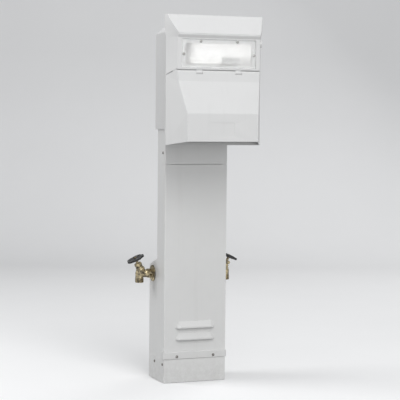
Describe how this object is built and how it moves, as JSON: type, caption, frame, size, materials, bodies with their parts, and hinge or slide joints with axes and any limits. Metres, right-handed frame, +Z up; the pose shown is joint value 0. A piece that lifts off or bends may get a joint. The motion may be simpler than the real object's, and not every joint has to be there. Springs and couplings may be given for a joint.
{
  "type": "rv power outlet pedestal",
  "caption": "Floor-standing campsite pedestal: lit head with a lift-up door over outlets and breakers, and a hose tap on each side.",
  "frame": {"origin": "middle of the anchor pattern, on the ground under the foot", "axes": "+Z up, front with the door and louvres towards -Y, +X to the right seen from the front"},
  "size_m": [0.3656, 0.348, 1.112],
  "materials": {
    "post_paint": "satin light grey",
    "galvanised": "dull zinc",
    "zinc_screws": "satin",
    "head_moulding": "satin light grey",
    "hinge_steel": "satin",
    "lens_clear": "clear",
    "gasket_rubber": "matt",
    "tray_white": "gloss white",
    "holder_plastic": "matt grey",
    "lamp_glass": "opal",
    "photocell_lens": "gloss",
    "panel_paint": "satin grey",
    "outlet_black": "matt black",
    "outlet_grey": "satin grey",
    "test_key": "satin black",
    "reset_key": "satin red",
    "breaker_black": "matt black",
    "handle_black": "satin black",
    "bar_aluminium": "machined",
    "bar_insulator": "matt",
    "pipe_copper": "dull copper",
    "tap_brass": "dull cast brass",
    "wheel_iron": "dark painted",
    "wheel_screws": "dull"
  },
  "bodies": {
    "post": {"post_channel": "post_paint", "skirt": "post_paint", "trim_strip": "post_paint", "neck_panel": "post_paint", "crossbar": "post_paint", "foot_pan": "galvanised", "breaker_bracket": "galvanised", "skirt_screws": "zinc_screws", "strip_screws": "zinc_screws", "neck_screws": "zinc_screws", "shell_screws": "zinc_screws", "lens_screws": "zinc_screws", "panel_screws": "zinc_screws", "bar_screws": "zinc_screws", "lug_screws": "zinc_screws", "rear_housing": "head_moulding", "front_shell": "head_moulding", "hinge_pin": "hinge_steel", "lens": "lens_clear", "lens_gasket": "gasket_rubber", "lamp_tray": "tray_white", "lamp_holder": "holder_plastic", "lamp": "lamp_glass", "photocell": "photocell_lens", "inner_panel": "panel_paint", "outlet_50": "outlet_black", "outlet_30": "outlet_black", "outlet_20": "outlet_grey", "breaker_50": "breaker_black", "breaker_30": "breaker_black", "breaker_20": "breaker_black", "terminal_block": "breaker_black", "earth_bar": "bar_aluminium", "neutral_bar": "bar_aluminium", "lugs": "bar_aluminium", "bar_feet": "bar_insulator", "riser": "pipe_copper", "tee": "tap_brass", "tap_body_left": "tap_brass", "tap_body_right": "tap_brass", "tap_bonnet_left": "tap_brass", "tap_bonnet_right": "tap_brass", "packing_nut_left": "tap_brass", "packing_nut_right": "tap_brass"},
    "cover": {"front_cover": "post_paint", "cover_screws": "post_paint"},
    "door": {"door": "head_moulding"},
    "test_key": {"test_button": "test_key"},
    "reset_key": {"reset_button": "reset_key"},
    "handle_50": {"handle_50": "handle_black"},
    "handle_30": {"handle_30": "handle_black"},
    "handle_20": {"handle_20": "handle_black"},
    "washer_left": {"seat_washer_left": "gasket_rubber"},
    "washer_right": {"seat_washer_right": "gasket_rubber"},
    "stem_left": {"tap_stem_left": "tap_brass", "tap_wheel_left": "wheel_iron", "wheel_screw_left": "wheel_screws"},
    "stem_right": {"tap_stem_right": "tap_brass", "tap_wheel_right": "wheel_iron", "wheel_screw_right": "wheel_screws"}
  },
  "joints": [
    {"name": "door_hinge", "type": "hinge", "parent": "post", "child": "door", "pos_m": [0, -0.228, 0.944], "axis": [-1, 0, 0], "range_deg": [0, 100]},
    {"name": "cover_lift_off", "type": "slide", "parent": "post", "child": "cover", "axis": [0, -1, 0], "range_m": [0, 0.15]},
    {"name": "test_press", "type": "slide", "parent": "post", "child": "test_key", "axis": [0, 1, 0], "range_m": [0, 0.0014], "stiffness_N_per_m": 400},
    {"name": "reset_press", "type": "slide", "parent": "post", "child": "reset_key", "axis": [0, 1, 0], "range_m": [0, 0.0014], "stiffness_N_per_m": 400},
    {"name": "breaker_50_throw", "type": "hinge", "parent": "post", "child": "handle_50", "pos_m": [-0.0254, -0.181, 0.897], "axis": [1, 0, 0], "range_deg": [0, 36]},
    {"name": "breaker_30_throw", "type": "hinge", "parent": "post", "child": "handle_30", "pos_m": [0.0127, -0.181, 0.897], "axis": [1, 0, 0], "range_deg": [0, 36]},
    {"name": "breaker_20_throw", "type": "hinge", "parent": "post", "child": "handle_20", "pos_m": [0.0381, -0.181, 0.897], "axis": [1, 0, 0], "range_deg": [0, 36]},
    {"name": "tap_left_rise", "type": "slide", "parent": "post", "child": "washer_left", "axis": [-0.4384, 0, 0.8988], "range_m": [0, 0.006]},
    {"name": "tap_left_turn", "type": "hinge", "parent": "washer_left", "child": "stem_left", "pos_m": [-0.1345, 0.046, 0.328], "axis": [-0.4384, 0, 0.8988], "range_deg": [0, 900]},
    {"name": "tap_right_rise", "type": "slide", "parent": "post", "child": "washer_right", "axis": [0.4384, 0, 0.8988], "range_m": [0, 0.006]},
    {"name": "tap_right_turn", "type": "hinge", "parent": "washer_right", "child": "stem_right", "pos_m": [0.1345, 0.046, 0.328], "axis": [0.4384, 0, 0.8988], "range_deg": [0, 900]}
  ],
  "couplings": [
    {"joint": "tap_left_turn", "follows": "tap_left_rise", "rad_per_m": 2618},
    {"joint": "tap_right_turn", "follows": "tap_right_rise", "rad_per_m": 2618}
  ]
}
